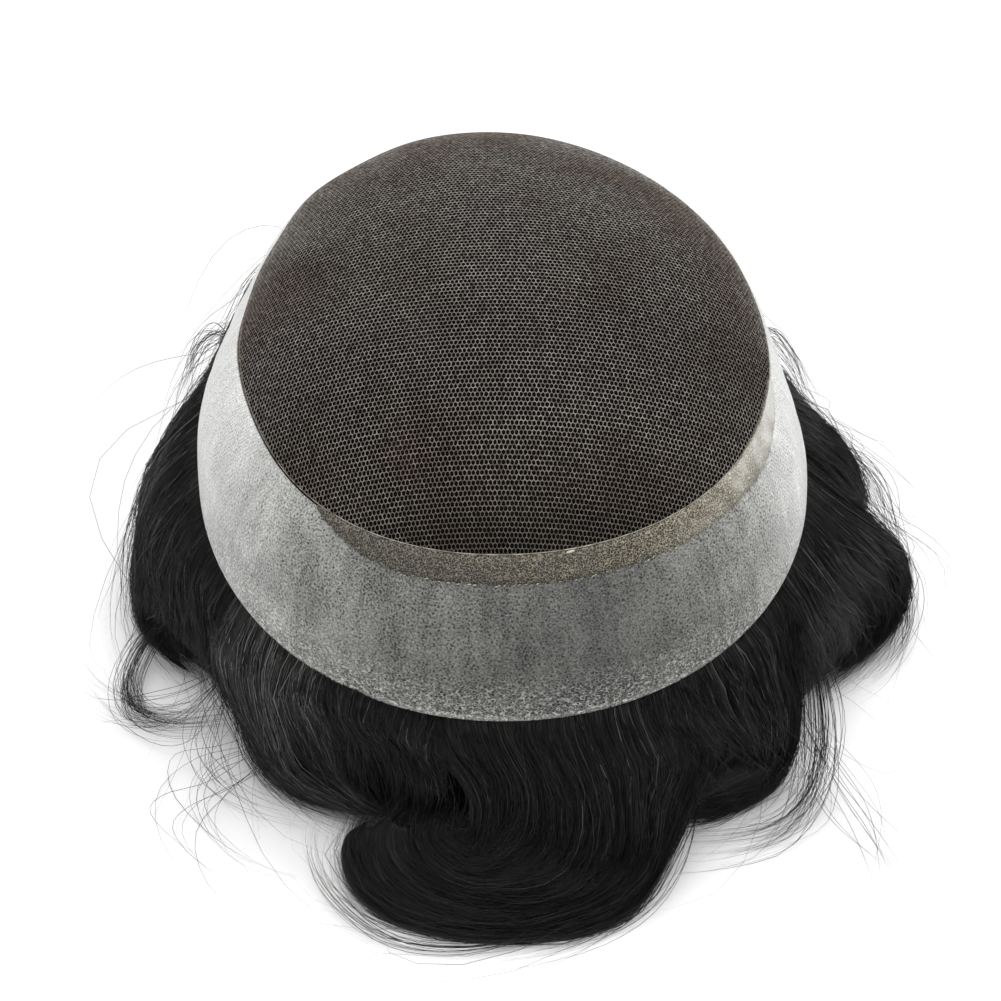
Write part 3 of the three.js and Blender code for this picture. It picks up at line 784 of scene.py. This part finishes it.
# Body of a mass: its spline surface with relief, rounded down at both edges and ragged at its tip,
# with a sheet below.
def makeMass(name):
    table = massTable(name)
    middle = massPoint(table, np.linspace(0, 1, 60), 0.5)
    width = np.linalg.norm(np.diff(middle, axis=0), axis=-1).sum()
    spine = massPoint(table, 0.5, np.linspace(0, 1, 60))
    length = np.linalg.norm(np.diff(spine, axis=0), axis=-1).sum()
    columns = int(width / hairBody["spacing"])
    u, s = np.meshgrid(np.linspace(0, 1, columns), np.linspace(0, 1, hairBody["rows"]))
    rng = np.random.default_rng(hairMasses[name]["seed"] + 300)
    s = s * (hairBody["reach"] + hairBody["ragged"] * field(rng, u, s, int(columns / 4), 2))
    surface = massPoint(table, u, s)
    normal = massNormal(table, u, s)
    outer = surface + normal * (massRelief(name, u, s) - hairBody["edge"] * massEdge(u))[..., None]
    inner = outer - normal * massThick(u, s)[..., None]
    outer[..., 2] = np.maximum(outer[..., 2], 0.0012)
    inner[..., 2] = np.maximum(inner[..., 2], 0.0002)
    uv = np.stack([(u + massDrift(name, u, s)) * width, s * length], -1)
    return shellMesh(name, outer, inner, False, uv)


# Closed three-sided strands: a triangle carried along each path, thin at the tip.
def strandMesh(name, paths, radius, tone):
    count, steps, _ = paths.shape
    ahead = unit(np.gradient(paths, axis=1))
    side = unit(np.cross(ahead, np.array([0.21, 0.13, 0.97])))
    other = np.cross(ahead, side)
    along = np.linspace(0, 1, steps)
    taper = np.clip((1 - along) / 0.4, 0.2, 1)
    size = (radius[:, None] * taper)[..., None, None]
    turn = np.arange(3)[:, None] * 2 * math.pi / 3
    ring = np.cos(turn) * side[:, :, None] + np.sin(turn) * other[:, :, None]
    points = (paths[:, :, None] + ring * size).reshape(-1, 3)
    quad = gridFaces(steps, 3, False, True)
    last = 3 * steps
    ends = [[2, 1, 0], [last - 3, last - 2, last - 1]]
    one = np.concatenate([quad[:, [0, 1, 2]], quad[:, [0, 2, 3]], ends])
    one = facingOut(points[:last], one)
    faces = (one[None] + (np.arange(count) * last)[:, None, None]).reshape(-1, 3)
    return putMesh(name, points, faces, None, {"tone": np.repeat(tone, last)})


# Strands on a mass: shares of its length and width, and radii and lifts in metres. A tone of 1 is the palest,
# and a power below 1 makes more of them pale, which paints a sheen on part of a mass.
strands = {
    "steps": 10, "thin": 0.00004, "thick": 0.00011, "perClump": 13, "lift": 0.00026, "stray": 0.0012,
    "loose": 0.14, "under": 0.3, "past": 1.13, "beside": 0.04, "underFrom": 0.5, "lateFrom": 0.3, "late": 0.5,
    "shortest": 0.72, "pull": (0.1, 0.9), "sway": 0.014, "looseSway": 4, "looseLift": 3,
    "sheenPower": 0.15, "plainPower": 1.5, "plainMost": 0.98,
}


# Strands that lie on a mass and draw together into clumps towards their tips. Some run loose across
# the others, some lie below the tip, and many reach past the tip and the sides of the body.
def makeStrands(name):
    rng = np.random.default_rng(hairMasses[name]["seed"] + 200)
    table = massTable(name)
    count = hairMasses[name]["strands"]
    u = rng.uniform(-strands["beside"], 1 + strands["beside"], count)
    clumps = rng.uniform(0, 1, int(count / strands["perClump"]))
    nearest = clumps[np.abs(u[:, None] - clumps[None]).argmin(1)]
    loose = rng.uniform(0, 1, count) < strands["loose"]
    under = rng.uniform(0, 1, count) < strands["under"]
    lateFirst = rng.uniform(0, strands["lateFrom"], count) * (rng.uniform(0, 1, count) < strands["late"])
    first = np.where(under, strands["underFrom"], lateFirst)
    last = rng.uniform(strands["shortest"], strands["past"], count)
    steps = hairMasses[name].get("steps", strands["steps"])
    s = first[:, None] + (last - first)[:, None] * np.linspace(0, 1, steps)
    pull = rng.uniform(*strands["pull"], count)[:, None] * np.minimum(s, 1) ** 2
    across = u[:, None] * (1 - pull) + nearest[:, None] * pull
    sway = rng.normal(0, strands["sway"], count) * np.where(loose, strands["looseSway"], 1)
    across = across + sway[:, None] * np.sin(s * 5 + rng.uniform(0, 6, count)[:, None])
    across = across - massDrift(name, np.clip(across, 0, 1), np.minimum(s, 1))
    lift = rng.gamma(1.2, strands["lift"], count) * np.where(loose, strands["looseLift"], 1)
    lift = lift[:, None] * (0.3 + s) + 0.00005
    inside, along = np.clip(across, 0, 1), np.minimum(s, 1)
    rise = massRelief(name, inside, along) - hairBody["edge"] * massEdge(inside)
    rise = rise + np.where(under[:, None], -massThick(inside, along) - 0.3 * lift, lift)
    paths = massPoint(table, across, s) + massNormal(table, across, s) * rise[..., None]
    stray = rng.normal(0, 1, (count, 1, 3)) * rng.gamma(1.0, strands["stray"], count)[:, None, None]
    paths = paths + stray * (s ** 3)[..., None]
    radius = rng.uniform(strands["thin"], strands["thick"], count)
    paths[..., 2] = np.maximum(paths[..., 2], radius[:, None])
    # Painted sheen: strands on one side of a mass that asks for it get mostly pale tones.
    sheenPainted = u < hairMasses[name].get("paintedSheenTo", -1)
    power = np.where(sheenPainted, strands["sheenPower"], strands["plainPower"])
    tone = rng.uniform(0, 1, count) ** power * np.where(sheenPainted, 1, strands["plainMost"])
    return strandMesh(name + "Strands", paths, radius, tone)


# Wisps: how far a hair starts off its lock's middle and sways about it, as shares of the lock's spread
# along the rim, out and up. Reach is the radius at which a spread along the rim is taken.
wisps = {
    "steps": 18, "thin": 0.000035, "thick": 0.00008, "seed": 41, "reach": 0.08, "shortest": 0.75,
    "atRoot": 0.25, "offset": (1, 1, 0.5), "curl": (1, 1, 0.3), "offsetBy": 0.6, "curlBy": 0.5, "curls": 5,
}
# Thin locks that stand clear of the masses: how many hairs, how far they spread, in millimetres,
# and the stations of their middle.
wispLocks = [
    {"hairs": 60, "spread": 3.2, "route": [
        (-171, 8, 24), (-170, 13, 14), (-169, 19, 8), (-165, 25, 4), (-160, 26, 3), (-156, 20, 3),
        (-153, 10, 3), (-150, 3, 5)]},
    {"hairs": 18, "spread": 5, "route": [
        (-152, 6, 20), (-154, 15, 9), (-158, 25, 4), (-165, 34, 2), (-170, 38, 1)]},
    {"hairs": 13, "spread": 6, "route": [
        (-135, 4, 22), (-139, 12, 10), (-143, 21, 4), (-141, 30, 2), (-132, 34, 2), (-123, 31, 2)]},
    {"hairs": 13, "spread": 5, "route": [
        (-149, 6, 20), (-149, 12, 9), (-145, 18, 3), (-136, 18, 2), (-127, 13, 2)]},
    {"hairs": 20, "spread": 2, "route": [
        (-92, 32, 3), (-101, 35, 2), (-110, 35, 2), (-118, 29, 3), (-123, 21, 5), (-124, 13, 8)]},
    {"hairs": 26, "spread": 2.6, "route": [
        (-66, 10, 26), (-70, 19, 15), (-76, 27, 6), (-83, 32, 2), (-92, 36, 2), (-100, 37, 1)]},
    {"hairs": 60, "spread": 4.2, "route": [
        (-38, 6, 38), (-42, 15, 30), (-45, 21, 18), (-49, 25, 8), (-55, 26, 3), (-62, 21, 2), (-69, 15, 3)]},
    {"hairs": 12, "spread": 4, "route": [
        (-46, 14, 24), (-47, 28, 10), (-48, 40, 3), (-50, 50, 1), (-52, 58, 1)]},
    {"hairs": 30, "spread": 3, "route": [
        (-216, -1, 47), (-217, 5, 47), (-215, 10, 42), (-211, 12, 34), (-206, 13, 26)]},
    {"hairs": 24, "spread": 3, "route": [(28, -1, 47), (27, 5, 47), (23, 9, 42), (18, 12, 34), (13, 15, 27)]},
    {"hairs": 30, "spread": 3, "route": [(4, 12, 36), (2, 20, 29), (-1, 25, 20), (-5, 28, 14), (-10, 29, 8)]},
    {"hairs": 30, "spread": 3, "route": [
        (-12, 20, 28), (-14, 27, 18), (-18, 29, 9), (-24, 25, 4), (-30, 18, 3)]},
]


# Wisps: each hair follows its lock's route, set off by a random amount that grows to the tip.
def makeWisps():
    rng = np.random.default_rng(wisps["seed"])
    paths = []
    for lock in wispLocks:
        count = lock["hairs"]
        route = np.array(lock["route"]) * [math.pi / 180, 0.001, 0.001]
        last = rng.uniform(wisps["shortest"], 1, (count, 1))
        s = np.linspace(0, 1, wisps["steps"]) * last
        place = splineWeights(s * (len(route) - 1), len(route)) @ route
        spread = 0.001 * lock["spread"]
        sides = np.array([spread / wisps["reach"], spread, spread])
        offset = rng.normal(0, 1, (count, 1, 3)) * (sides * wisps["offset"])
        curl = rng.normal(0, 1, (count, 1, 3)) * (sides * wisps["curl"])
        place = place + offset * (wisps["atRoot"] + s[..., None]) * wisps["offsetBy"]
        place = place + curl * np.sin(s * wisps["curls"])[..., None] * wisps["curlBy"]
        paths.append(besideRim(place))
    paths = np.concatenate(paths)
    radius = rng.uniform(wisps["thin"], wisps["thick"], len(paths))
    paths[..., 2] = np.maximum(paths[..., 2], radius[:, None] + 0.0001)
    return strandMesh("wisps", insideRoom(paths), radius, rng.uniform(0, 0.5, len(paths)))


# Loose hairs: how far they are thrown, the share that goes farther, and the room round the solids.
fly = {
    "hairs": 800, "steps": 11, "seed": 23, "thin": 0.000035, "thick": 0.00007, "long": 0.14,
    "reach": 0.0048, "farther": 3, "farthest": 0.024, "room": 0.0145, "top": 0.046, "shape": 1.6,
    "from": 0.1, "shortest": 0.8, "aside": 0.1, "outward": (0.1, 1), "rise": (0.2, 0.3), "bend": 2.2,
    "swings": (2, 6), "swing": 0.6,
}


# Paths drawn back towards their own roots as far as the room round the solids asks.
def insideRoom(paths):
    low = np.array(cadBox[0]) - fly["room"]
    high = np.array(cadBox[1]) + fly["room"]
    root = paths[:, :1]
    away = paths - root
    space = np.where(away > 0, high - root, root - low)
    share = (space / np.maximum(np.abs(away), 1e-9))[..., :2].min((1, 2), keepdims=True)
    return root + away * np.minimum(share, 1)


# Loose hairs: paths of the masses, thrown off sideways and outwards along smooth arcs.
def makeFlyaways():
    rng = np.random.default_rng(fly["seed"])
    total = sum(mass["strands"] for mass in hairMasses.values())
    paths = []
    for name, mass in hairMasses.items():
        table = massTable(name)
        count = int(fly["hairs"] * mass["strands"] / total)
        u = rng.uniform(0, 1, (count, 1))
        s = np.linspace(fly["from"], 1, fly["steps"])[None] * rng.uniform(fly["shortest"], 1, (count, 1))
        base = massPoint(table, np.clip(u + rng.normal(0, fly["aside"], (count, 1)) * s, 0, 1), s)
        farther = np.where(rng.uniform(0, 1, (count, 1)) < fly["long"], fly["farther"], 1)
        reach = np.minimum(rng.gamma(fly["shape"], fly["reach"], (count, 1)) * farther, fly["farthest"])
        outward = unit((base[:, -1] - crown) * [1, 1, 0])
        sideways = np.stack([-outward[:, 1], outward[:, 0], np.zeros(count)], -1)
        heading = outward * rng.uniform(*fly["outward"], (count, 1)) + sideways * rng.normal(0, 1, (count, 1))
        heading = heading + [0, 0, 1] * rng.normal(*fly["rise"], (count, 1))
        arc = heading[:, None] * (s ** fly["bend"])[..., None]
        swing = (np.sin(s * rng.uniform(*fly["swings"], (count, 1))) * s)[..., None] * fly["swing"]
        paths.append(base + (arc + np.cross(heading, [0, 0, 1.0])[:, None] * swing) * reach[..., None])
    paths = insideRoom(np.concatenate(paths))
    radius = rng.uniform(fly["thin"], fly["thick"], len(paths))
    paths[..., 2] = np.clip(paths[..., 2], radius[:, None] + 0.0001, fly["top"])
    return strandMesh("flyaways", paths, radius, rng.uniform(0, 0.6, len(paths)))


# Hair under the net and inside the wall: insets from the dome, the height where the two meet, and how
# far the wall's foot stands out.
hairBed = {"outer": 0.0016, "inner": 0.0113, "split": 0.026, "flare": 0.0034, "columns": 150, "rows": 24}


# Rows of points down the hair wall at an inset: down the dome to the rim, then on to the floor.
def wallRows(around, inset):
    share = np.linspace(0, 1, 8)[:, None]
    down = downAt(around, hairBed["split"]) * (1 - share) + rimDown(around) * share
    wall = domePoint(np.broadcast_to(around, down.shape), down, inset)
    outward = np.stack([np.cos(around), np.sin(around), np.zeros(len(around))], -1)
    foot = wall[-1] * [1, 1, 0] + outward * hairBed["flare"] + [0, 0, 0.0002]
    fall = np.linspace(0, 1, 9)[1:, None, None]
    return np.concatenate([wall, wall[-1] * (1 - fall) + foot * fall])


# Wall of hair from inside the band to the floor, in two sheets joined at their edges.
def makeHairWall():
    around = np.linspace(-math.pi, math.pi, hairBed["columns"], endpoint=False)
    outer, inner = wallRows(around, hairBed["outer"]), wallRows(around, hairBed["inner"])
    return shellMesh("hairWall", outer, inner, True)


# Hair under the net: the dome's own shape moved in, outer and inner sheets with closed crowns.
def makeHairBed():
    columns, rows = hairBed["columns"], hairBed["rows"]
    around = np.linspace(-math.pi, math.pi, columns, endpoint=False)
    share = np.linspace(0.02, 1, rows)[:, None]
    down = downAt(around, hairBed["split"]) * share
    grid = np.broadcast_to(around, down.shape)
    outer = domePoint(grid, down, hairBed["outer"])
    inner = domePoint(grid, down, hairBed["inner"])[::-1]
    points = np.concatenate([outer, inner]).reshape(-1, 3)
    size = len(points)
    side = np.arange(columns)
    beside = (side + 1) % columns
    quad = gridFaces(rows * 2, columns, False, True)
    faces = np.concatenate([
        quad[:, [0, 1, 2]], quad[:, [0, 2, 3]],
        np.stack([np.full(columns, size), beside, side], -1),
        np.stack([np.full(columns, size + 1), size - columns + side, size - columns + beside], -1)])
    points = np.concatenate([points, [outer[0].mean(0), inner[-1].mean(0)]])
    return putMesh("hairBed", points, facingOut(points, faces))


# Hair seen through the net: dull black with broad clumps.
def bedBlack():
    shade = Shade("bedBlack")
    clump = shade.noise(120, 3, output="Object", stretch=(1, 0.35, 1))
    shade.color(shade.ramp(clump, [
        (0.35, (0.0016, 0.0014, 0.0013)), (0.6, (0.004, 0.003, 0.0026)), (0.75, (0.009, 0.0055, 0.005))]))
    return shade.done(0.85, 0.08)


# Body of the hair: black, with pale streaks that are partly grey hairs and partly painted highlight, and
# ridges that run along it.
def hairBlack():
    shade = Shade("hairBlack")
    fine = shade.noise(1, 3, stretch=(2600, 45, 1))
    coarse = shade.noise(1, 3, stretch=(620, 16, 1))
    level = shade.total(shade.times(coarse, 0.5), shade.times(fine, 0.5))
    # The palest stop is partly grey hair and partly painted highlight on single hairs.
    shade.color(shade.ramp(level, [
        (0.32, (0.001, 0.0008, 0.0008)), (0.52, (0.0028, 0.0023, 0.0022)), (0.62, (0.008, 0.0067, 0.0062)),
        (0.74, (0.034, 0.03, 0.028))]))
    rough = shade.total(shade.times(coarse, 0.3), 0.2)
    shade.links.new(rough, shade.main.inputs["Roughness"])
    shade.bump(shade.total(fine, shade.times(coarse, 1.5)), 0.0007, 0.85)
    return shade.done(specular=0.26)


# Single strands: each has one tone, from black to pale. The pale tones are partly grey hair and partly
# painted highlight and sheen.
def strandBlack():
    shade = Shade("strandBlack")
    shade.color(shade.ramp(shade.attribute("tone"), [
        (0.0, (0.0012, 0.001, 0.001)), (0.6, (0.0035, 0.003, 0.0029)), (0.86, (0.02, 0.018, 0.017)),
        (0.96, (0.075, 0.072, 0.071)), (1.0, (0.24, 0.235, 0.233))]))
    return shade.done(0.28, 0.34)


# Hem of the seam. Away from the middle of the lap it sinks in.
hem = {"radius": 0.00012, "steps": 360, "sides": 6, "sink": 0.0006, "middle": -70, "uneven": 0.00006}


# Thin closed cord round the seam, a little uneven in height and sunk away from the lap.
def makeHem():
    around = np.linspace(-math.pi, math.pi, hem["steps"], endpoint=False)
    uneven = hem["uneven"] * np.sin(around * 37 + 2 * np.sin(around * 11))
    sunk = hem["sink"] * np.clip(np.abs(turnFrom(around, hem["middle"])) - 1, 0, 1)
    middle = domePoint(around, seamDown(around), uneven + sunk)
    up = domeNormal(around, seamDown(around))
    ahead = unit(np.roll(middle, -1, 0) - np.roll(middle, 1, 0))
    side = np.cross(up, ahead)
    turn = np.linspace(0, 2 * math.pi, hem["sides"], endpoint=False)[:, None]
    ring = np.cos(turn) * side[:, None] + np.sin(turn) * up[:, None]
    points = (middle[:, None] + ring * hem["radius"]).reshape(-1, 3)
    return putMesh("seamHem", points, facingOut(points, gridFaces(hem["steps"], hem["sides"], True, True)))


# Pale thread between two tones.
def paleThread(name, dark, light):
    shade = Shade(name)
    shade.color(shade.ramp(shade.noise(420, 3, output="Object"), [(0.35, dark), (0.65, light)]))
    return shade.done(0.6)


made = []


# Gives pieces their material and body, and hides the nodes that they stand for. The slot is not used.
def dress(pieces, material, slot, *nodes):
    for piece in pieces:
        made.append(piece)
        piece.data.materials.append(material)
        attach(piece, "root")
        if nodes:
            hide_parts(*nodes)


# Camera: angles in degrees, the rest in metres and in pixels of the picture.
view = {
    "tilt": 48.0, "turn": -5.9, "distance": 0.6343, "focal": 2528.5, "pixels": 1001,
    "shiftX": 2.96, "shiftY": -32.2,
}


# Camera on a ray from the crown at its tilt and turn. It looks past the crown by the two shifts.
def makeCamera():
    tilt, turn = math.radians(view["tilt"]), math.radians(view["turn"])
    back = np.array([math.sin(turn) * math.cos(tilt), -math.cos(turn) * math.cos(tilt), math.sin(tilt)])
    right = np.array([math.cos(turn), math.sin(turn), 0])
    up = np.cross(back, right)
    place = crown + back * view["distance"]
    scale = view["distance"] / view["focal"]
    aim = crown - right * view["shiftX"] * scale + up * view["shiftY"] * scale
    camera = bpy.data.objects.new("camera", bpy.data.cameras.new("camera"))
    camera.data.sensor_width = 36
    camera.data.lens = 36 * view["focal"] / view["pixels"]
    camera.location = place
    camera.rotation_euler = Vector(aim - place).to_track_quat("-Z", "Y").to_euler()
    bpy.context.scene.collection.objects.link(camera)
    bpy.context.scene.camera = camera


# Round soft lamp that looks at the middle of the hair.
def makeLight(name, place, size, power):
    lamp = bpy.data.lights.new(name, "AREA")
    lamp.shape = "DISK"
    lamp.size = size
    lamp.energy = power
    holder = bpy.data.objects.new(name, lamp)
    holder.location = place
    holder.rotation_euler = (Vector(studio["aim"]) - Vector(place)).to_track_quat("-Z", "Y").to_euler()
    bpy.context.scene.collection.objects.link(holder)


studio = {"sky": 0.53, "floor": 0.98, "floorSize": 12, "aim": (0, 0, 0.05), "lamps": [
    ("topBox", (0.05, 0.15, 1.15), 0.9, 8.5),  # name, place, size, power
    ("leftBox", (-0.9, 0.3, 0.8), 0.6, 1),
    ("rightBox", (0.9, -0.1, 0.7), 0.6, 2.6),
    ("nearBox", (-0.4, -0.9, 0.7), 0.5, 2),
]}


# White sky, four lamps and a plain pale floor.
def makeStudio():
    world = bpy.data.worlds.new("studio")
    bpy.context.scene.world = world
    world.use_nodes = True
    world.node_tree.nodes["Background"].inputs[0].default_value = (1, 1, 1, 1)
    world.node_tree.nodes["Background"].inputs[1].default_value = studio["sky"]
    for lamp in studio["lamps"]:
        makeLight(*lamp)
    bpy.ops.mesh.primitive_plane_add(size=studio["floorSize"], location=(0, 0, 0))
    floor = bpy.context.object
    floor.name = "floor"
    shade = Shade("paleFloor")
    shade.main.inputs["Base Color"].default_value = (*[studio["floor"]] * 3, 1)
    floor.data.materials.append(shade.done(0.8))
    bpy.context.scene.view_settings.view_transform = "Standard"


makeCamera()
dress(makeNet(), netThread(), "net", "lace_cap")
print("net made")
dress([makeBand()], filmSkin(), "film", "skin_band")
dress([makeLap()], lapCloth(), "lap", "lap_strip")
dress([makeHem()], paleThread("hemThread", (0.13, 0.12, 0.09), (0.45, 0.42, 0.33)), "lap")
dress([makeStitches()], paleThread("stitchThread", (0.2, 0.19, 0.155), (0.52, 0.5, 0.4)), "lap")
print("band, lap and hem made")
black = hairBlack()
dress([makeHairBed()], bedBlack(), "hair", "crown_hair")
masses = [makeMass(name) for name in hairMasses]
dress([makeHairWall(), *masses], black, "hair", "rim_hair")
print("hair masses made")
loose = strandBlack()
dress([makeStrands(name) for name in hairMasses], loose, "hair", "rim_hair")
dress([makeWisps(), makeFlyaways()], loose, "hair", "rim_hair")
print("hair made")
makeStudio()
for piece in made:
    print(piece.name, "triangles:", len(piece.data.loops) - 2 * len(piece.data.polygons))
print("all triangles:", sum(len(piece.data.loops) - 2 * len(piece.data.polygons) for piece in made))
